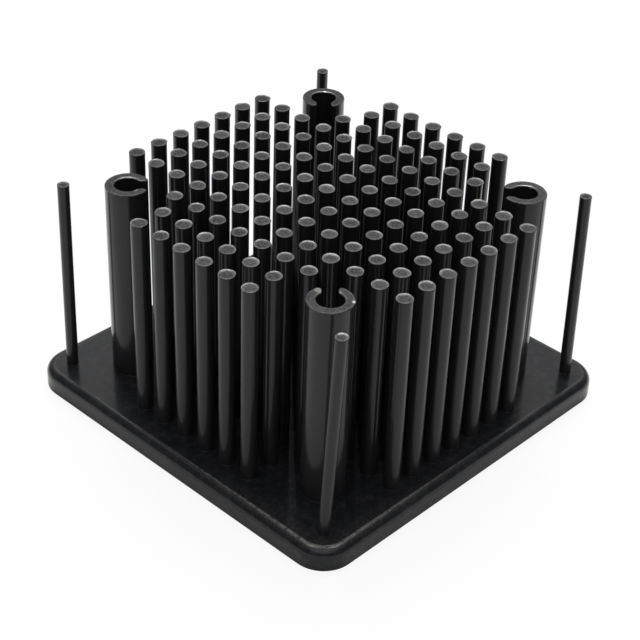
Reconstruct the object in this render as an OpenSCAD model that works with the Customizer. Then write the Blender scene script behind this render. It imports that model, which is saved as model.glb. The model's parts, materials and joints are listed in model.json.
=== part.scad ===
// Pin fin heat sink: one cold-forged piece of black anodised aluminium.
// Millimetres, +Z up, origin at the centre of the plate's underside.

/* [Base plate] */
// Width of the plate, along X
plate_w = 70; // [66:1:100]
// Depth of the plate, along Y
plate_d = 70; // [66:1:100]
// Thickness of the plate
plate_t = 4; // [3:0.25:8]
// Radius of the plate's four upright corners
corner_r = 5.6; // [3:0.1:8]
// Radius of the round along the plate's top edge
top_edge_r = 1.4; // [0.4:0.1:2]
// Radius of the round along the plate's bottom edge
bottom_edge_r = 0.35; // [0.1:0.05:0.6]

/* [Pins] */
// Diameter of a cooling pin
pin_d = 2.7; // [1.5:0.1:3.2]
// Height of the cooling pins above the plate
pin_h = 35.7; // [12:0.1:60]
// Distance between neighbouring pins along X
pitch_x = 4.84; // [4.2:0.02:7]
// Distance between neighbouring pins along Y
pitch_y = 4.98; // [4.2:0.02:7]
// Number of middle columns that stand in line with each other; the ones outside them are staggered
straight_columns = 9; // [3:2:13]
// Least clear distance from a cooling pin to the plate's edge
edge_room = 3; // [1.5:0.1:8]
// Least clear distance from a cooling pin to a screw boss
boss_room = 3.3; // [1:0.1:6]
// Least clear distance from a cooling pin to the foot of a corner pin
corner_pin_room = 3.5; // [3:0.1:8]
// Radius of the fillet at the foot of each pin
root_r = 0.4; // [0.1:0.05:0.6]
// Width of the bevel round the flat tip of each pin
tip_bevel = 0.12; // [0.04:0.02:0.3]

/* [Screw bosses] */
// Outer diameter of a split screw boss
boss_d = 7.4; // [6.6:0.1:9]
// Bore of a screw boss, which a thread-forming screw cuts its thread in
boss_bore = 4.3; // [3.4:0.1:4.6]
// Width of the slot that opens the boss towards the middle of the plate
boss_slot = 2.5; // [1.5:0.5:2.5]
// Radius of the rounded lips on both sides of the slot
lip_r = 0.5; // [0.2:0.05:0.6]
// Height of the screw bosses above the plate
boss_h = 35.7; // [12:0.1:60]
// Distance from a boss's axis to each of the two plate edges beside it
boss_inset = 12.33; // [11:0.1:16]

/* [Corner pins] */
// Diameter of the thin pin in each corner
corner_pin_d = 2; // [1.2:0.1:2.8]
// Height of the corner pins above the plate
corner_pin_h = 35.7; // [12:0.1:60]
// Distance from a corner pin's foot to each of the two plate edges beside it
corner_pin_inset = 4.8; // [4:0.1:6]
// How far the bent pin in the -X -Y corner leans over at its tip, along X
front_lean = 1.9; // [-3:0.1:3]
// How far the bent pin in the +X -Y corner leans over at its tip, along X
right_lean = -1; // [-3:0.1:3]
// How far the bent pin in the -X +Y corner leans over at its tip, along Y
left_lean = -0.5; // [-3:0.1:3]

/* [Hidden] */
$fn = 32;
// How deep every foot reaches into the plate, so that plate and pins are one solid
sink = 1;
// Half the distance between the centres of the plate's corner rounds
core_x = plate_w / 2 - corner_r;
core_y = plate_d / 2 - corner_r;
// Places of the screw bosses and the corner pins in the +X +Y quarter
boss_x = plate_w / 2 - boss_inset;
boss_y = plate_d / 2 - boss_inset;
corner_pin_x = plate_w / 2 - corner_pin_inset;
corner_pin_y = plate_d / 2 - corner_pin_inset;
// Furthest that the axis of a cooling pin may stand from the middle
reach_x = plate_w / 2 - edge_room - pin_d / 2;
reach_y = plate_d / 2 - edge_room - pin_d / 2;
// Last column that is in line, and the last column on the plate
last_straight = (straight_columns - 1) / 2;
last_column = floor(reach_x / pitch_x);

// Half pitch by which a column is staggered
function stagger(column) = abs(column) > last_straight ? 0.5 : 0;

// True where a pin at x, y keeps clear of the boss and the corner pin in its quarter of the plate
function is_clear(x, y) =
    norm([abs(x) - boss_x, abs(y) - boss_y]) >= (boss_d + pin_d) / 2 + boss_room
    && norm([abs(x) - corner_pin_x, abs(y) - corner_pin_y])
        >= (corner_pin_d + pin_d) / 2 + corner_pin_room;

// Places of all cooling pins, column by column
pin_places = [
    for (column = [-last_column:last_column])
        let (last_row = floor(reach_y / pitch_y - stagger(column)) + stagger(column))
            for (row = [-last_row:last_row])
                if (is_clear(column * pitch_x, row * pitch_y))
                    [column * pitch_x, row * pitch_y]
];

// What has to be cut off a square outer corner at the origin to round it to radius r
module corner_waste(r) {
    translate([-r, -r]) difference() {
        square(2 * r);
        circle(r);
    }
}

// Section through the plate from the centre of a corner round out to the edge
module edge_section() {
    difference() {
        square([corner_r, plate_t]);
        translate([corner_r, plate_t]) corner_waste(top_edge_r);
        translate([corner_r, 0]) mirror([0, 1]) corner_waste(bottom_edge_r);
    }
}

// One straight side of the plate, `half` to each side of the middle
module plate_side(out, half) {
    translate([out, half, 0]) rotate([90, 0, 0]) linear_extrude(2 * half) edge_section();
}

module plate() {
    translate([-core_x, -core_y, 0]) cube([2 * core_x, 2 * core_y, plate_t]);
    for (turn = [0, 180]) {
        rotate(turn) plate_side(core_x, core_y);
        rotate(turn + 90) plate_side(core_y, core_x);
    }
    for (x = [0, 1], y = [0, 1])
        mirror([x, 0, 0]) mirror([0, y, 0])
            translate([core_x, core_y, 0]) rotate_extrude(angle = 90) edge_section();
}

// A round pin on a filleted foot, with a bevel round its flat tip
module pin(d, h) {
    rotate_extrude() {
        difference() {
            translate([0, -sink]) square([d / 2, sink + h]);
            translate([d / 2, h]) rotate(45) square(tip_bevel * sqrt(2), center = true);
        }
        difference() {
            translate([0, -sink]) square([d / 2 + root_r, sink + root_r]);
            translate([d / 2 + root_r, root_r]) circle(root_r);
        }
    }
}

// The thin pin in the corner with the signs x and y; its tip leans over by lean_x and lean_y
module corner_pin(x, y, lean_x = 0, lean_y = 0) {
    tilt = atan(norm([lean_x, lean_y]) / corner_pin_h);
    translate([x * corner_pin_x, y * corner_pin_y, 0])
        rotate([0, tilt, atan2(lean_y, lean_x)]) pin(corner_pin_d, corner_pin_h);
}

// Section of a split boss, with its slot towards +X and a rounded lip on each side of it
module boss_section() {
    outer = boss_d / 2;
    inner = boss_bore / 2;
    lip_y = boss_slot / 2 + lip_r;
    lip_out = sqrt(pow(outer - lip_r, 2) - pow(lip_y, 2));
    lip_in = sqrt(pow(inner + lip_r, 2) - pow(lip_y, 2));
    // Where the lips' rounds run into the outside and into the bore
    meet_out = [lip_out, lip_y] * outer / (outer - lip_r);
    meet_in = [lip_in, lip_y] * inner / (inner + lip_r);
    mouth = [[0, 0], meet_in, [lip_in, lip_y], [lip_out, lip_y], meet_out, [boss_d, lip_y]];
    difference() {
        circle(outer);
        circle(inner);
        polygon(mouth);
        mirror([0, 1]) polygon(mouth);
        translate([0, -lip_y]) square([boss_d, 2 * lip_y]);
    }
    for (side = [0, 1]) mirror([0, side]) {
        translate([lip_in, lip_y - lip_r]) square([lip_out - lip_in, lip_r]);
        for (x = [lip_in, lip_out])
            translate([x, lip_y]) circle(lip_r);
    }
}

// Screw boss that stands in the +X +Y quarter and opens towards the middle
module boss() {
    translate([boss_x, boss_y, -sink]) rotate(180 + atan2(boss_y, boss_x))
        linear_extrude(sink + boss_h) boss_section();
}

module heat_sink() {
    color([0.13, 0.13, 0.14]) {
        plate();
        translate([0, 0, plate_t]) {
            for (place = pin_places) translate(place) pin(pin_d, pin_h);
            for (x = [0, 1], y = [0, 1]) mirror([x, 0, 0]) mirror([0, y, 0]) boss();
            corner_pin(-1, -1, lean_x = front_lean);
            corner_pin(1, -1, lean_x = right_lean);
            corner_pin(-1, 1, lean_y = left_lean);
            corner_pin(1, 1);
        }
    }
}

heat_sink();
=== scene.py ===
"""Looks of the pin fin heat sink: one forged piece of black anodised aluminium on a white floor.

The outside is rebuilt here as one closed mesh of the CAD solid's form, with the small things that the
solid leaves out: uneven sheared tips with burrs, fine rounds that catch the light, and the wear, with painted
highlights.
Sizes are in millimetres, in the frame of the CAD part, and become metres when the mesh is made.
"""

import json
import math
import random

import bpy
from mathutils import Matrix, Vector
from mathutils.geometry import delaunay_2d_cdt


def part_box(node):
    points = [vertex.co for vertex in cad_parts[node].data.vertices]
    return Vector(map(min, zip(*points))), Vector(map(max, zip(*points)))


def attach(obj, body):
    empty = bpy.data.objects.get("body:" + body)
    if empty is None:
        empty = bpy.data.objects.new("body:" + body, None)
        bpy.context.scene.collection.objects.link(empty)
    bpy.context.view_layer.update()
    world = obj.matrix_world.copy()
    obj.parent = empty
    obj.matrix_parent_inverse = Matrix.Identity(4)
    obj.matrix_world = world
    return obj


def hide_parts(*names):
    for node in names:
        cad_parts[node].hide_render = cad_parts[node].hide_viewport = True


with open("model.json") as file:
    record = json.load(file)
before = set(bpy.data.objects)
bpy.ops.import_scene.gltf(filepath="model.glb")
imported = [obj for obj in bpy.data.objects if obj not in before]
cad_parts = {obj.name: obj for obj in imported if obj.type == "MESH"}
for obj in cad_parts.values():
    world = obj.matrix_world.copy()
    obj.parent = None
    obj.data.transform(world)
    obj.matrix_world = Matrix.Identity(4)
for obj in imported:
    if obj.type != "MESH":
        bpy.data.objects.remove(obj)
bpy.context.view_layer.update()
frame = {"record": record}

MM = 0.001
NODE = "heat_sink"
SEED = 7

# ---------------------------------------------------------------- camera

CAMERA_PLACE = Vector((-169.5, -157.56, 173.7)) * MM
CAMERA_TARGET = Vector((-2.3, -1.77, 15.82)) * MM
CAMERA_ROLL = 2.18  # degrees
CAMERA_LENS = 92.96
SENSOR_WIDTH = 36.0

# Level directions: away from the camera, and to its right
AWAY = CAMERA_TARGET - CAMERA_PLACE
AWAY.z = 0.0
AWAY.normalize()
ASIDE = Vector((AWAY.y, -AWAY.x, 0.0))


def add_camera():
    data = bpy.data.cameras.new("camera")
    data.lens = CAMERA_LENS
    data.sensor_width = SENSOR_WIDTH
    data.clip_start = 0.01
    data.clip_end = 20.0
    camera = bpy.data.objects.new("camera", data)
    camera.location = CAMERA_PLACE
    aim = (CAMERA_TARGET - CAMERA_PLACE).to_track_quat("-Z", "Y")
    roll = Matrix.Rotation(math.radians(CAMERA_ROLL), 3, "Z").to_quaternion()
    camera.rotation_mode = "QUATERNION"
    camera.rotation_quaternion = aim @ roll
    bpy.context.scene.collection.objects.link(camera)
    bpy.context.scene.camera = camera


# ---------------------------------------------------------------- sizes, as in the CAD part

LOW, HIGH = (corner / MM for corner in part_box(NODE))
PLATE_W = HIGH.x - LOW.x
PLATE_D = HIGH.y - LOW.y
PLATE_T = 4.0
CORNER_R = 5.6
TOP_EDGE_R = 1.4
BOTTOM_EDGE_R = 0.35

PIN_D = 2.7
PIN_H = 35.7
PITCH_X = 4.84
PITCH_Y = 4.98
STRAIGHT_COLUMNS = 9
EDGE_ROOM = 3.0
BOSS_ROOM = 3.3
CORNER_PIN_ROOM = 3.5

BOSS_D = 7.4
BOSS_H = 35.7
BOSS_SLOT = 2.5
LIP_R = 0.5

CORNER_PIN_D = 2.0
CORNER_PIN_INSET = 4.8
CORNER_PIN_X = PLATE_W / 2 - CORNER_PIN_INSET
CORNER_PIN_Y = PLATE_D / 2 - CORNER_PIN_INSET
# How far each corner pin leans over at its tip, by the signs of its corner
CORNER_PIN_LEANS = {(-1, -1): (1.9, 0.0), (1, -1): (-1.0, 0.0), (-1, 1): (0.0, -0.5), (1, 1): (0.0, 0.0)}

BOSS_MOUNTS = {m["name"]: m for m in frame["record"]["mounts"] if m["kind"] == "clamp"}
BOSS_X, BOSS_Y = (abs(v) / MM for v in BOSS_MOUNTS["boss_back"]["pos_m"][:2])
BOSS_BORE = 2 * BOSS_MOUNTS["boss_back"]["dims"]["r_mm"]

# ---------------------------------------------------------------- mesh tools

SHARP_ANGLE = 40  # degrees between faces from which an edge stays sharp
MERGE_DISTANCE = 1e-7


class Shell:
    """One closed mesh in the making: points in millimetres, faces, and three values for each point."""

    def __init__(self):
        self.points = []
        self.faces = []
        self.values = {"tip": [], "rim": [], "grain": []}

    def ring(self, points, **values):
        """Adds points and returns their numbers.

        tip marks a cut end, rim its edge, where a highlight is painted on with exposed metal,
        and grain is a shift of the texture that is 0 on the plate.
        Each is one number, or a list with one for each point.
        """
        first = len(self.points)
        self.points.extend(points)
        for name, numbers in self.values.items():
            value = values.get(name, 0.0)
            numbers.extend(value if isinstance(value, list) else [value] * len(points))
        return list(range(first, len(self.points)))

    def stack(self, rings):
        """Joins rings of as many points, one to the next, with bands of quads."""
        for low, high in zip(rings, rings[1:]):
            for i in range(len(low)):
                j = (i + 1) % len(low)
                self.faces.append((low[i], low[j], high[j], high[i]))

    def fill(self, outline, holes=()):
        """Fills the flat region inside the ring `outline` and outside the rings `holes`, facing up."""
        loops = [outline, *holes]
        numbers = [n for loop in loops for n in loop]
        edges = []
        for loop in loops:
            start = len(edges)
            edges += [(start + i, start + (i + 1) % len(loop)) for i in range(len(loop))]
        polygons = [[Vector(self.points[n][:2]) for n in loop] for loop in loops]
        flat = [p for polygon in polygons for p in polygon]
        made = delaunay_2d_cdt(flat, edges, [], 0, MERGE_DISTANCE)
        boxes = [(min(p.x for p in q), max(p.x for p in q), min(p.y for p in q), max(p.y for p in q))
                 for q in polygons]
        for face in made[2]:
            middle = sum((made[0][v] for v in face), Vector((0, 0))) / len(face)
            covering = [q for q, b in zip(polygons, boxes)
                        if b[0] < middle.x < b[1] and b[2] < middle.y < b[3] and inside(middle, q)]
            if covering == polygons[:1]:
                self.faces.append(tuple(numbers[made[3][v][0]] for v in face))

    def build(self, name, material):
        """The finished object, in metres."""
        mesh = bpy.data.meshes.new(name)
        mesh.from_pydata([Vector(p) * MM for p in self.points], [], self.faces)
        for value_name, values in self.values.items():
            layer = mesh.attributes.new(value_name, "FLOAT", "POINT")
            layer.data.foreach_set("value", values)
        mesh.shade_smooth()
        mesh.set_sharp_from_angle(angle=math.radians(SHARP_ANGLE))
        mesh.materials.append(material)
        made = bpy.data.objects.new(name, mesh)
        bpy.context.scene.collection.objects.link(made)
        return made


def inside(point, polygon):
    """True where a point lies inside a polygon, by counting the edges to its right."""
    found = False
    for a, b in zip(polygon, polygon[1:] + polygon[:1]):
        if (a.y > point.y) != (b.y > point.y):
            if point.x < a.x + (point.y - a.y) / (b.y - a.y) * (b.x - a.x):
                found = not found
    return found


def arc(centre, radius, start, end, steps):
    """Points on an arc, both ends included, angles in degrees."""
    turns = [math.radians(start + (end - start) * i / steps) for i in range(steps + 1)]
    return [(centre[0] + radius * math.cos(t), centre[1] + radius * math.sin(t)) for t in turns]


def round_profile(radius, steps):
    """(inset, rise) pairs along a quarter round, from the wall to the flat."""
    turns = [math.radians(90 * i / steps) for i in range(steps + 1)]
    return [(radius * (1 - math.cos(t)), radius * math.sin(t)) for t in turns]


# ---------------------------------------------------------------- plate

HOLD = 0.05  # distance of a holding loop from the round beside it
CORNER_STEPS = 14
SIDE_STEPS = 30
TOP_EDGE_STEPS = 12
BOTTOM_EDGE_STEPS = 4


def plate_outline(inset, z):
    """Points round the plate, anticlockwise, `inset` inside its side walls."""
    half_x = PLATE_W / 2 - CORNER_R
    half_y = PLATE_D / 2 - CORNER_R
    corners = [(half_x, half_y, 0), (-half_x, half_y, 90), (-half_x, -half_y, 180), (half_x, -half_y, 270)]
    radius = CORNER_R - inset
    points = [p for x, y, turn in corners for p in arc((x, y), radius, turn, turn + 90, CORNER_STEPS)]
    whole = []
    for here, there in zip(points, points[1:] + points[:1]):
        steps = SIDE_STEPS if math.dist(here, there) > CORNER_R else 1
        whole += [Vector(here).lerp(there, i / steps) for i in range(steps)]
    return [(x, y, z) for x, y in whole]


def add_plate(shell):
    """The plate's underside, edges and wall. Returns the ring that bounds its top face."""
    bottom_edge = reversed(round_profile(BOTTOM_EDGE_R, BOTTOM_EDGE_STEPS))
    top_edge = round_profile(TOP_EDGE_R, TOP_EDGE_STEPS)
    levels = [(BOTTOM_EDGE_R + HOLD, 0.0)]
    levels += [(inset, BOTTOM_EDGE_R - rise) for inset, rise in bottom_edge]
    levels += [(0.0, BOTTOM_EDGE_R + HOLD), (0.0, PLATE_T - TOP_EDGE_R - HOLD)]
    levels += [(inset, PLATE_T - TOP_EDGE_R + rise) for inset, rise in top_edge]
    levels += [(TOP_EDGE_R + HOLD, PLATE_T)]
    rings = [shell.ring(plate_outline(inset, z)) for inset, z in levels]
    shell.stack(rings)
    shell.faces.append(tuple(reversed(rings[0])))
    return rings[-1]


# ---------------------------------------------------------------- pins

PIN_STEPS = 32
FOOT_R = 0.06  # smaller than the CAD part's fillet: the photo shows the pins' feet almost sharp
FOOT_STEPS = 3

# Rings on a cut end, by their distance from its edge, and two rings on the wall below it
TIP_INSETS = (0.04, 0.1, 0.18, 0.3, 0.45, 0.6, 0.8)
TIP_EDGE = 0.04
TIP_HOLD = 0.3

# How the tips were sheared: the shears came out at the far side and left a burr there, rolled the near edge
# over and pushed out a lip to the right
TIP_TILT = 0.04
TIP_STRAY = 0.04
CUT_UNEVEN = 0.01
BURR_TURN = 0.35  # radians, as a spread
BURR_WIDTHS = (0.45, 0.7)  # shares of the pin's radius
BURR_HEIGHTS = (0.06, 0.13)
ROLL_WIDTH = 0.2
ROLL_DROPS = (0.03, 0.08)
LIP_TURN = 0.4  # radians, as a spread
LIP_REACH = 0.16
# The rim of a cut end gets a painted highlight with exposed metal, strongest on the side away from the camera
RIM_WIDTH = 0.5
RIM_LEAST = 0.25  # how much of the edge's shine is left where the shears went in


def pin_places():
    """Axes of the cooling pins, by the rule that the CAD part follows."""
    reach_x = PLATE_W / 2 - EDGE_ROOM - PIN_D / 2
    reach_y = PLATE_D / 2 - EDGE_ROOM - PIN_D / 2
    last_straight = (STRAIGHT_COLUMNS - 1) // 2
    last_column = math.floor(reach_x / PITCH_X)
    places = []
    for column in range(-last_column, last_column + 1):
        stagger = 0.5 if abs(column) > last_straight else 0.0
        last_row = math.floor(reach_y / PITCH_Y - stagger) + stagger
        for step in range(int(2 * last_row) + 1):
            x, y = column * PITCH_X, (step - last_row) * PITCH_Y
            to_boss = math.dist((abs(x), abs(y)), (BOSS_X, BOSS_Y))
            to_corner_pin = math.dist((abs(x), abs(y)), (CORNER_PIN_X, CORNER_PIN_Y))
            off_boss = to_boss >= (BOSS_D + PIN_D) / 2 + BOSS_ROOM
            if off_boss and to_corner_pin >= (CORNER_PIN_D + PIN_D) / 2 + CORNER_PIN_ROOM:
                places.append((x, y))
    return places


def add_pin(shell, place, diameter, lean=(0.0, 0.0)):
    """A pin with a filleted foot and a sheared, uneven tip. Returns the ring round its foot."""
    radius = diameter / 2
    grain = random.random()
    tilt = random.uniform(0.0, TIP_TILT)
    tilt_way = random.uniform(0, 2 * math.pi)
    burr_way = math.atan2(AWAY.y, AWAY.x) + random.gauss(0, BURR_TURN)
    burr_width = random.uniform(*BURR_WIDTHS) * radius
    burr = random.uniform(*BURR_HEIGHTS)
    roll_drop = random.uniform(*ROLL_DROPS)
    lip_way = math.atan2(ASIDE.y, ASIDE.x) + random.gauss(0, LIP_TURN)
    lip = random.uniform(0.0, LIP_REACH)
    stray = (random.gauss(0, TIP_STRAY), random.gauss(0, TIP_STRAY))
    turns = [2 * math.pi * i / PIN_STEPS for i in range(PIN_STEPS)]

    def at(size, turn, z):
        share = z / PIN_H
        x = place[0] + size * math.cos(turn) + (lean[0] + stray[0]) * share
        y = place[1] + size * math.sin(turn) + (lean[1] + stray[1]) * share
        return (x, y, PLATE_T + z)

    def leaving(turn):
        """1 where the shears came out of the pin, 0 where they went in."""
        return (1 + math.cos(turn - burr_way)) / 2

    def tip_height(inset, turn):
        """Height of the cut end, `inset` inside its edge."""
        raised = burr * leaving(turn) ** 1.5 * max(0.0, 1 - inset / burr_width) ** 2
        rolled = roll_drop * (1 - leaving(turn)) * max(0.0, 1 - inset / ROLL_WIDTH) ** 2
        tilted = tilt * ((radius - inset) / radius * math.cos(turn - tilt_way) - 1)
        return PIN_H - burr + raised - rolled + tilted

    def tip_size(inset, turn):
        """Radius of the cut end, pushed out at one side."""
        pushed = lip * max(0.0, math.cos(turn - lip_way)) ** 6
        return radius - inset + pushed * max(0.0, 1 - inset / RIM_WIDTH)

    def ring(size, height):
        return shell.ring([at(size, turn, height) for turn in turns], grain=grain)

    foot = reversed(round_profile(FOOT_R, FOOT_STEPS))
    rings = [shell.ring([at(radius + FOOT_R + HOLD, turn, 0.0) for turn in turns])]
    rings += [ring(radius + inset, FOOT_R - rise) for inset, rise in foot]
    rings += [ring(radius, FOOT_R + HOLD), ring(radius, PIN_H / 2)]
    held = [at(radius, turn, tip_height(0, turn) - TIP_HOLD) for turn in turns]
    edge = [at(tip_size(0, turn), turn, tip_height(0, turn) - TIP_EDGE) for turn in turns]
    rings += [shell.ring(points, grain=grain) for points in (held, edge)]
    for inset in TIP_INSETS:
        heights = [tip_height(inset, turn) - random.uniform(0, CUT_UNEVEN) for turn in turns]
        points = [at(tip_size(inset, turn), turn, height) for turn, height in zip(turns, heights)]
        near_edge = max(0.0, 1 - inset / RIM_WIDTH)
        # Painted highlight on the edge, brightest on the side away from the camera
        shine = [near_edge * (RIM_LEAST + (1 - RIM_LEAST) * leaving(turn) ** 2) for turn in turns]
        rings.append(shell.ring(points, tip=1.0, rim=shine, grain=grain))
    shell.stack(rings)
    shell.fill(rings[-1])
    return rings[0]


def add_pins(shell):
    """All cooling pins and corner pins. Returns the rings round their feet."""
    feet = [add_pin(shell, place, PIN_D) for place in pin_places()]
    for (side_x, side_y), lean in CORNER_PIN_LEANS.items():
        place = (side_x * CORNER_PIN_X, side_y * CORNER_PIN_Y)
        feet.append(add_pin(shell, place, CORNER_PIN_D, lean))
    return feet


# ---------------------------------------------------------------- bosses

BOSS_EDGE = 0.18  # radius of the round along the edges of a boss's end
BOSS_EDGE_STEPS = 5
BOSS_UNEVEN = 0.02
# Rings on a boss's end inside that round: distance from it, and how much painted shine they get
BOSS_END_RINGS = ((0.06, 0.6), (0.25, 0.0))
# Painted highlight on the bosses' edges, brightest at the bore's far side
BORE_RIM_LEAST = 0.1  # how much of its shine the bore's edge keeps on the near side
OUTER_RIM = 0.15  # how much of it the other edges have

LIP_IN_STEPS = 6
LIP_OUT_STEPS = 12
OUTSIDE_STEPS = 64
BORE_STEPS = 36


def boss_outline(grow):
    """Outline of a split boss with its slot towards +X, grown by `grow` on every side."""
    outer = BOSS_D / 2
    inner = BOSS_BORE / 2
    lip_y = BOSS_SLOT / 2 + LIP_R
    lip_out = math.sqrt((outer - LIP_R) ** 2 - lip_y**2)
    lip_in = math.sqrt((inner + LIP_R) ** 2 - lip_y**2)
    out_turn = math.degrees(math.atan2(lip_y, lip_out))
    in_turn = math.degrees(math.atan2(lip_y, lip_in))
    lip = LIP_R + grow
    upper = arc((lip_in, lip_y), lip, in_turn - 180, -90, LIP_IN_STEPS)
    upper += arc((lip_out, lip_y), lip, -90, out_turn, LIP_OUT_STEPS)
    outside = arc((0, 0), outer + grow, out_turn, 360 - out_turn, OUTSIDE_STEPS)[1:-1]
    lower = [(x, -y) for x, y in reversed(upper)]
    bore = arc((0, 0), inner - grow, 360 - in_turn, in_turn, BORE_STEPS)[1:-1]
    return upper + outside + lower + bore


def add_boss(shell, side_x, side_y):
    """A split screw boss that opens towards the plate's middle. Returns the ring round its foot."""
    axis = Vector((side_x * BOSS_X, side_y * BOSS_Y))
    turn = Matrix.Rotation(math.atan2(-axis.y, -axis.x), 2)
    grain = random.random()
    wave = random.uniform(0, 2 * math.pi)

    def ring(grow, height, tip=0.0, rim=0.0):
        points, shine = [], []
        for point in boss_outline(grow):
            spot = turn @ Vector(point)
            uneven = BOSS_UNEVEN * (math.sin(3 * math.atan2(spot.y, spot.x) + wave) - 1) if tip else 0.0
            points.append((axis.x + spot.x, axis.y + spot.y, PLATE_T + height + uneven))
            at_bore = spot.length < (BOSS_D + BOSS_BORE) / 4
            # Painted highlight on the bore's edge, brightest on the side away from the camera
            beyond = max(0.0, spot.normalized().dot(AWAY.xy))
            bore_rim = BORE_RIM_LEAST + (1 - BORE_RIM_LEAST) * beyond**2
            shine.append(rim * (bore_rim if at_bore else OUTER_RIM))
        return shell.ring(points, tip=tip, rim=shine, grain=grain if height else 0.0)

    foot = reversed(round_profile(FOOT_R, FOOT_STEPS))
    end = round_profile(BOSS_EDGE, BOSS_EDGE_STEPS)
    rings = [ring(FOOT_R + HOLD, 0.0)]
    rings += [ring(inset, FOOT_R - rise) for inset, rise in foot]
    rings += [ring(0.0, FOOT_R + HOLD), ring(0.0, BOSS_H - BOSS_EDGE - HOLD)]
    rings += [ring(-inset, BOSS_H - BOSS_EDGE + rise, tip=1.0, rim=1.0) for inset, rise in end]
    rings += [ring(-BOSS_EDGE - step, BOSS_H, tip=1.0, rim=rim) for step, rim in BOSS_END_RINGS]
    shell.stack(rings)
    shell.fill(rings[-1])
    return rings[0]


def add_bosses(shell):
    return [add_boss(shell, x, y) for x in (-1, 1) for y in (-1, 1)]


# ---------------------------------------------------------------- material


class Nodes:
    """Short ways to add nodes to a material or a world."""

    def __init__(self, tree):
        self.tree = tree
        tree.nodes.clear()

    def add(self, kind, inputs=None, **settings):
        node = self.tree.nodes.new(kind)
        for name, value in settings.items():
            setattr(node, name, value)
        for name, value in (inputs or {}).items():
            self.put(node.inputs[name], value)
        return node

    def put(self, socket, value):
        """Links a socket or sets its value."""
        if isinstance(value, bpy.types.NodeSocket):
            self.tree.links.new(value, socket)
        else:
            socket.default_value = value

    def math(self, operation, *values):
        return self.add("ShaderNodeMath", dict(enumerate(values)), operation=operation).outputs[0]

    def vector(self, operation, *values, output="Vector"):
        return self.add("ShaderNodeVectorMath", dict(enumerate(values)), operation=operation).outputs[output]

    def ramp(self, value, low, high, start=0.0, end=1.0):
        """Maps value smoothly from low..high to start..end, level outside them."""
        names = {"Value": value, "From Min": low, "From Max": high, "To Min": start, "To Max": end}
        return self.add("ShaderNodeMapRange", names, interpolation_type="SMOOTHSTEP").outputs["Result"]

    def mix(self, factor, a, b, kind="RGBA"):
        """Mixes two colours, or two numbers where kind is FLOAT."""
        node = self.add("ShaderNodeMix", data_type=kind)
        self.put(node.inputs[0], factor)
        first, second = (s for s in node.inputs if s.name in ("A", "B") and s.enabled)
        self.put(first, a)
        self.put(second, b)
        return next(s for s in node.outputs if s.enabled)

    def noise(self, vector, scale, detail=2.0, roughness=0.5):
        inputs = {"Vector": vector, "Scale": scale, "Detail": detail, "Roughness": roughness}
        return self.add("ShaderNodeTexNoise", inputs).outputs["Fac"]

    def stretched(self, vector, scale):
        return self.add("ShaderNodeMapping", {"Vector": vector, "Scale": scale}).outputs["Vector"]

    def value(self, name):
        """One of the values that the mesh has for each point."""
        return self.add("ShaderNodeAttribute", attribute_name=name).outputs["Fac"]


def outside_plate(n, place):
    """Level distance from the plate's outline, positive outside it."""
    flat = n.vector("MULTIPLY", place, (1.0, 1.0, 0.0))
    middle = Vector((PLATE_W / 2 - CORNER_R, PLATE_D / 2 - CORNER_R, 0.0)) * MM
    beyond = n.vector("MAXIMUM", n.vector("SUBTRACT", n.vector("ABSOLUTE", flat), middle), (0.0, 0.0, 0.0))
    return n.math("SUBTRACT", n.vector("LENGTH", beyond, output="Value"), CORNER_R * MM)


def plate_edge_marks(n, place):
    """Two masks: the crest of the plate's top edge, with wear and a painted highlight, and a lighter band
    beside it.
    """
    inset = n.math("MULTIPLY", outside_plate(n, place), -1.0)
    front = Vector((LOW.x, LOW.y, PLATE_T)) * MM
    to_front = n.vector("DISTANCE", place, front, output="Value")
    height = n.add("ShaderNodeSeparateXYZ", {0: place}).outputs["Z"]
    above_wall = n.ramp(height, (PLATE_T - 0.5) * MM, (PLATE_T - 0.15) * MM)
    below_pins = n.ramp(height, (PLATE_T + 0.05) * MM, (PLATE_T + 0.2) * MM, 1.0, 0.0)
    on_top = n.math("MULTIPLY", above_wall, below_pins)

    # The crest: wear and a painted highlight, strongest at the front corner
    width = n.ramp(to_front, 6 * MM, 30 * MM, 0.42 * MM, 0.28 * MM)
    off_crest = n.math("ABSOLUTE", n.math("SUBTRACT", inset, (TOP_EDGE_R - 0.05) * MM))
    crest = n.ramp(n.math("DIVIDE", off_crest, width), 0.25, 1.0, 1.0, 0.0)
    scuffs = n.ramp(n.noise(place, 1500.0, 4.0, 0.7), 0.32, 0.56, 0.1, 1.0)
    fading = n.ramp(to_front, 8 * MM, 48 * MM, 1.0, 0.2)
    # Wear and a painted highlight along the crest
    worn_and_highlight = n.math("MULTIPLY", n.math("MULTIPLY", crest, on_top), n.math("MULTIPLY", scuffs, fading))

    # A lighter band beside it on the flat, strongest at the front corner
    beside = n.ramp(inset, 1.2 * MM, 5.5 * MM, 1.0, 0.0)
    band = n.math("MULTIPLY", beside, n.ramp(to_front, 6 * MM, 34 * MM, 1.0, 0.25))
    specks = n.ramp(n.noise(place, 2600.0, 3.0, 0.7), 0.4, 0.62)
    edge_band = n.math("MULTIPLY", n.math("MULTIPLY", band, on_top), specks)
    return worn_and_highlight, edge_band


# Rubs and chipped spots on the bosses' ends, with painted glints on them: boss, degrees from the camera's
# right, distance from the boss's axis, size, and how much exposed metal and painted glint shows
CHIPS_AND_GLINTS = (
    ("boss_front", -7.0, BOSS_D / 2 - 0.2, 0.42, 1.0),
    ("boss_front", 128.0, 3.0, 0.75, 0.3),
    ("boss_front", -111.0, BOSS_BORE / 2 + 0.12, 0.3, 0.2),
    ("boss_back", 86.0, BOSS_BORE / 2 + 0.1, 0.32, 1.0),
    ("boss_left", -50.0, BOSS_BORE / 2 + 0.1, 0.5, 0.25),
    ("boss_left", -24.0, 2.8, 0.4, 0.3),
    ("boss_right", 60.0, BOSS_BORE / 2 + 0.1, 0.5, 0.3),
)


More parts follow.
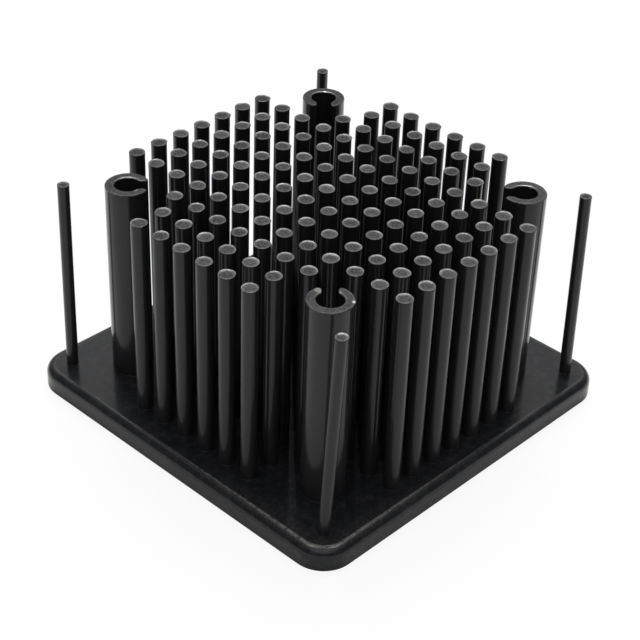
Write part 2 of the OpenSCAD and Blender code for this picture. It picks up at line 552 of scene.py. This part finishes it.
def chips_and_glints(n, place):
    """How much exposed metal and painted glint shows on the bosses' ends, from 0 to 1."""
    found = 0.0
    ragged = n.math("MULTIPLY", n.noise(place, 4000.0), 0.2 * MM)
    for boss, turn, distance, size, strength in CHIPS_AND_GLINTS:
        way = Matrix.Rotation(math.radians(turn), 3, "Z") @ ASIDE
        middle = Vector(BOSS_MOUNTS[boss]["pos_m"]) + way * distance * MM
        far = n.math("ADD", n.vector("DISTANCE", place, middle, output="Value"), ragged)
        found = n.math("MAXIMUM", found, n.ramp(far, 0.7 * size * MM, (size + 0.1) * MM, strength, 0.0))
    return found


# Colours of the dark skin on pins and walls, of the matt skin on the plate and of the cut ends, each from its
# darkest to its lightest, and of the marks on them
SKIN = ((0.0160, 0.0166, 0.0184, 1.0), (0.0194, 0.0198, 0.0214, 1.0))
MATT = ((0.0074, 0.0082, 0.0104, 1.0), (0.0136, 0.0144, 0.0172, 1.0))
CUT = ((0.007, 0.007, 0.008, 1.0), (0.048, 0.048, 0.048, 1.0))
BLOTCH = (0.0230, 0.0238, 0.0265, 1.0)
SMEAR = (0.0360, 0.0370, 0.0400, 1.0)
# Metal scraping on the rims of the cut ends, which is also a painted highlight there
SCRAPED_AND_HIGHLIGHT = (0.34, 0.34, 0.335, 1.0)
# A lighter band on the flat along the plate's edge
EDGE_BAND = (0.045, 0.045, 0.044, 1.0)
# Wear and a painted highlight on the crest of the plate's top edge
WORN_AND_HIGHLIGHT = (0.2, 0.2, 0.19, 1.0)
# Exposed metal, painted as bright as a glint of the lamp
BARE_AND_GLINT = (0.78, 0.76, 0.70, 1.0)

SKIN_ROUGHNESS = (0.38, 0.46)
CUT_ROUGHNESS = 0.3
BUMP_UNIT = 0.000002  # metres for a height of 1


def anodised_black():
    """Black anodised aluminium: a dark, matt body under a clear skin, with sheared ends, wear and painted
    highlights.
    """
    material = bpy.data.materials.new("black_anodised")
    material.use_nodes = True
    n = Nodes(material.node_tree)

    place = n.add("ShaderNodeTexCoord").outputs["Object"]
    tip, rim, grain = (n.value(name) for name in ("tip", "rim", "grain"))
    on_plate = n.math("LESS_THAN", grain, 0.001)
    worn_and_highlight, edge_band = plate_edge_marks(n, place)
    bare_and_glint = chips_and_glints(n, place)

    # Textures in the object's place; those of a pin are shifted and turned by its own grain
    shift = n.add("ShaderNodeCombineXYZ", {"X": grain, "Y": grain, "Z": grain}).outputs[0]
    shifted = n.vector("ADD", place, shift)
    turn = {"Vector": shifted, "Angle": n.math("MULTIPLY", grain, 40.0)}
    turned = n.add("ShaderNodeVectorRotate", turn, rotation_type="Z_AXIS").outputs[0]
    cloud = n.noise(place, 180.0, 3.0, 0.6)
    smears = n.noise(n.stretched(place, (1.0, 0.5, 1.0)), 260.0, 5.0, 0.65)
    blotches = n.noise(place, 700.0, 4.0, 0.65)
    fine = n.noise(shifted, 3000.0, 3.0, 0.6)
    streaks = n.noise(n.stretched(shifted, (1.0, 1.0, 0.03)), 2200.0, 2.0, 0.5)
    cuts = n.noise(n.stretched(turned, (0.45, 1.0, 1.0)), 3200.0, 4.0, 0.7)

    skin = n.mix(cloud, *SKIN)
    matt = n.mix(n.ramp(fine, 0.35, 0.65), *MATT)
    matt = n.mix(n.ramp(blotches, 0.45, 0.7), matt, BLOTCH)
    matt = n.mix(n.ramp(smears, 0.5, 0.75, 0.0, 0.55), matt, SMEAR)
    # Painted highlight and metal scraping on the rims of the ends
    scraped_and_highlight = n.math("MULTIPLY", rim, n.ramp(cuts, 0.3, 0.55, 0.4, 1.0))
    cut = n.mix(scraped_and_highlight, n.mix(n.ramp(cuts, 0.43, 0.6), *CUT), SCRAPED_AND_HIGHLIGHT)
    colour = n.mix(tip, n.mix(on_plate, skin, matt), cut)
    colour = n.mix(n.math("MULTIPLY", edge_band, 0.7), colour, EDGE_BAND)
    colour = n.mix(worn_and_highlight, colour, WORN_AND_HIGHLIGHT)
    colour = n.mix(bare_and_glint, colour, BARE_AND_GLINT)
    metal = n.math("MULTIPLY", tip, n.math("MAXIMUM", scraped_and_highlight, n.ramp(cuts, 0.5, 0.6, 0.0, 0.7)))
    rough = n.mix(tip, n.ramp(cloud, 0.3, 0.7, *SKIN_ROUGHNESS), CUT_ROUGHNESS, kind="FLOAT")

    skin_height = n.math("MULTIPLY", streaks, 2.2)
    matt_height = n.math("MULTIPLY", n.math("ADD", fine, n.math("MULTIPLY", blotches, 2.0)), 4.0)
    height = n.mix(on_plate, skin_height, matt_height, kind="FLOAT")
    height = n.math("ADD", height, n.math("MULTIPLY", worn_and_highlight, 3.0))
    height = n.mix(tip, height, n.math("MULTIPLY", cuts, 50.0), kind="FLOAT")
    bump = n.add("ShaderNodeBump", {"Height": height, "Strength": 1.0, "Distance": BUMP_UNIT}).outputs[0]

    shader = n.add("ShaderNodeBsdfPrincipled", {
        "Base Color": colour,
        "Metallic": metal,
        "Roughness": rough,
        "IOR": 1.2,
        "Coat Weight": 1.0,
        "Coat Roughness": 0.13,
        "Coat IOR": 1.35,
        "Normal": bump,
        "Coat Normal": bump,
    })
    n.add("ShaderNodeOutputMaterial", {"Surface": shader.outputs[0]})
    return material


# ---------------------------------------------------------------- stage and light

WHITE = (1.0, 1.0, 1.0, 1.0)
FLOOR_COLOUR = (0.96, 0.96, 0.96, 1.0)
FLOOR_HALF = 3.0  # metres
FLOOR_GLOW = 1.04
FLOOR_GLOW_SEEN = 0.85  # share of the glow in what the camera sees; the rest keeps the shadow
ROOM_LIGHT = 0.13


def ray_kinds(n):
    """1 for rays from the camera, and 1 for rays that show in reflections or through glass."""
    path = n.add("ShaderNodeLightPath").outputs
    return path["Is Camera Ray"], n.math("MAXIMUM", path["Is Glossy Ray"], path["Is Transmission Ray"])


def add_world():
    """White to the camera; to the object a white sweep behind it, a ceiling glow and a dim room."""
    world = bpy.data.worlds.new("room")
    bpy.context.scene.world = world
    world.use_nodes = True
    n = Nodes(world.node_tree)
    way = n.add("ShaderNodeTexCoord").outputs["Generated"]
    ahead = n.vector("DOT_PRODUCT", way, AWAY, output="Value")
    across = n.vector("DOT_PRODUCT", way, ASIDE, output="Value")
    up = n.add("ShaderNodeSeparateXYZ", {0: way}).outputs["Z"]
    sweep = n.math("MULTIPLY", n.ramp(ahead, 0.45, 0.7), n.ramp(up, 0.37, 0.72, 0.12, 0.78))
    sweep = n.math("MULTIPLY", sweep, n.ramp(across, -0.1, 0.25, 1.0, 0.7))
    middle = n.ramp(n.math("ABSOLUTE", across), 0.2, 0.62, 1.0, 0.0)
    ceiling = n.math("MULTIPLY", middle, n.ramp(up, 0.45, 0.75))
    room = n.math("ADD", ROOM_LIGHT, n.math("MAXIMUM", sweep, ceiling))
    camera_ray, _ = ray_kinds(n)
    strength = n.mix(camera_ray, room, 1.0, kind="FLOAT")
    light = n.add("ShaderNodeBackground", {"Color": WHITE, "Strength": strength})
    n.add("ShaderNodeOutputWorld", {"Surface": light.outputs[0]})


def add_soft_box(name, elevation, distance, width, height, radiance):
    """A rectangular lamp beyond the object, `elevation` degrees up; sizes are in metres."""
    data = bpy.data.lights.new(name, "AREA")
    data.shape = "RECTANGLE"
    data.size = width
    data.size_y = height
    data.energy = radiance * math.pi * width * height
    lamp = bpy.data.objects.new(name, data)
    turn = math.radians(elevation)
    back = AWAY * math.cos(turn) + Vector((0, 0, math.sin(turn)))
    lamp.location = back * distance
    lamp.rotation_mode = "QUATERNION"
    lamp.rotation_quaternion = Matrix((ASIDE, back.cross(ASIDE), back)).transposed().to_quaternion()
    lamp.visible_camera = False
    bpy.context.scene.collection.objects.link(lamp)


def add_floor():
    """White floor that keeps the object's shadow. Reflections show it glowing whiter beyond the object, with
    a painted shadow in front of the plate.
    """
    material = bpy.data.materials.new("floor_white")
    material.use_nodes = True
    n = Nodes(material.node_tree)
    camera_ray, mirrored = ray_kinds(n)
    place = n.add("ShaderNodeTexCoord").outputs["Object"]
    # Painted shadow in reflections: the floor's glow fades out next to the plate
    clear = n.ramp(outside_plate(n, place), 1 * MM, 9 * MM)
    # Painted light in reflections: the glow is brighter behind the object
    beyond = n.ramp(n.vector("DOT_PRODUCT", place, AWAY, output="Value"), -28 * MM, 6 * MM, 0.08, 1.0)
    diffuse = n.add("ShaderNodeBsdfDiffuse", {"Color": FLOOR_COLOUR})
    glow = n.add("ShaderNodeEmission", {"Color": WHITE, "Strength": FLOOR_GLOW})
    painted_glow_in_mirror = n.math("MULTIPLY", mirrored, n.math("MULTIPLY", clear, beyond))
    share = n.math("ADD", n.math("MULTIPLY", camera_ray, FLOOR_GLOW_SEEN), painted_glow_in_mirror)
    mix = n.add("ShaderNodeMixShader", {0: share, 1: diffuse.outputs[0], 2: glow.outputs[0]})
    n.add("ShaderNodeOutputMaterial", {"Surface": mix.outputs[0]})
    mesh = bpy.data.meshes.new("floor")
    corners = [(x * FLOOR_HALF, y * FLOOR_HALF, 0) for x, y in ((-1, -1), (1, -1), (1, 1), (-1, 1))]
    mesh.from_pydata(corners, [], [(0, 1, 2, 3)])
    mesh.materials.append(material)
    floor = bpy.data.objects.new("floor", mesh)
    bpy.context.scene.collection.objects.link(floor)


# ---------------------------------------------------------------- the whole

random.seed(SEED)
shell = Shell()
top_ring = add_plate(shell)
feet = add_pins(shell) + add_bosses(shell)
shell.fill(top_ring, feet)
heat_sink = shell.build("forged_heat_sink", anodised_black())
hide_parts(NODE)
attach(heat_sink, "root")

add_floor()
add_world()
add_soft_box("window", elevation=65.0, distance=0.7, width=0.42, height=0.36, radiance=4.5)
add_camera()

bpy.context.scene.view_settings.view_transform = "Standard"
